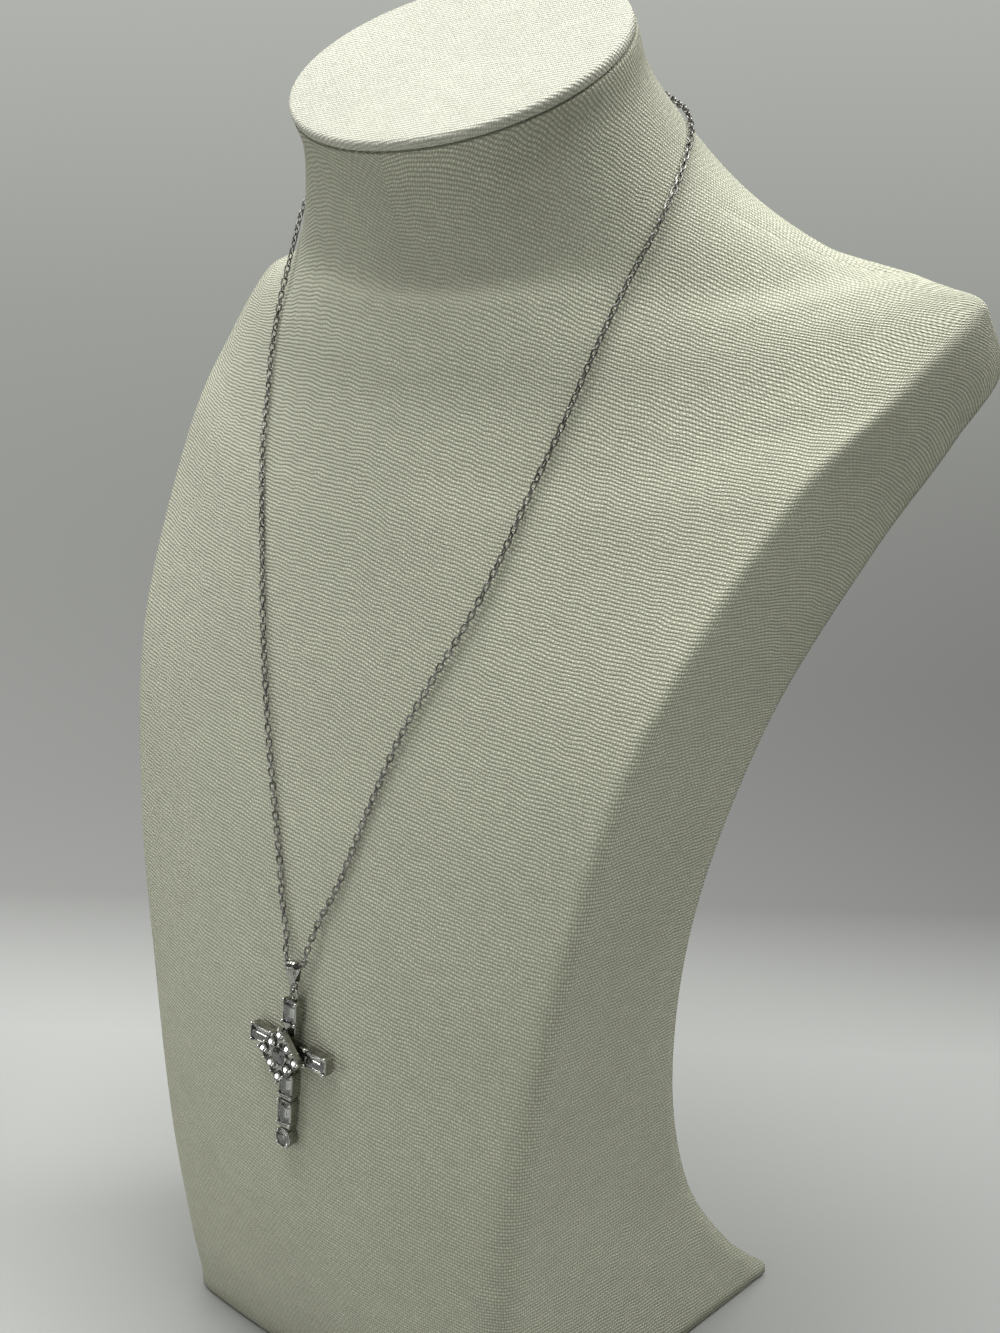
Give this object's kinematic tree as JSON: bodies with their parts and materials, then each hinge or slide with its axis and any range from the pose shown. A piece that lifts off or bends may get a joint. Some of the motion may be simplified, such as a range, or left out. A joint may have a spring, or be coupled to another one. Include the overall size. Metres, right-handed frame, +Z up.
{
  "type": "cross necklace on neck display bust",
  "caption": "Fine cable chain with a cross pendant set with clear baguette and round stones, on a linen covered neck display bust.",
  "frame": {"origin": "on the table, under the middle of the bust's foot", "axes": "+Z up, +X to the wearer's left, the chest looks along -Y"},
  "size_m": [0.254, 0.1405, 0.3722],
  "materials": {
    "linen": "natural linen, plain weave with slubs",
    "foot_sheet": "matte",
    "chain_silver": "dark silver",
    "polished_silver": "polished silver",
    "clear_stone": "faceted, clear"
  },
  "bodies": {
    "root": {"bust_body": "linen", "base_sheet": "foot_sheet", "neck_cap": "linen", "chain": "chain_silver", "clasp": "chain_silver", "bail": "polished_silver", "jump_ring": "polished_silver", "cross_setting": "polished_silver", "stone_top": "clear_stone", "stone_left": "clear_stone", "stone_right": "clear_stone", "stone_lower_1": "clear_stone", "stone_lower_2": "clear_stone", "stone_end": "clear_stone", "stone_center": "clear_stone", "stone_small_1": "clear_stone", "stone_small_2": "clear_stone", "stone_small_3": "clear_stone", "stone_small_4": "clear_stone", "stone_small_5": "clear_stone", "stone_small_6": "clear_stone", "stone_small_7": "clear_stone", "stone_small_8": "clear_stone"}
  },
  "joints": []
}
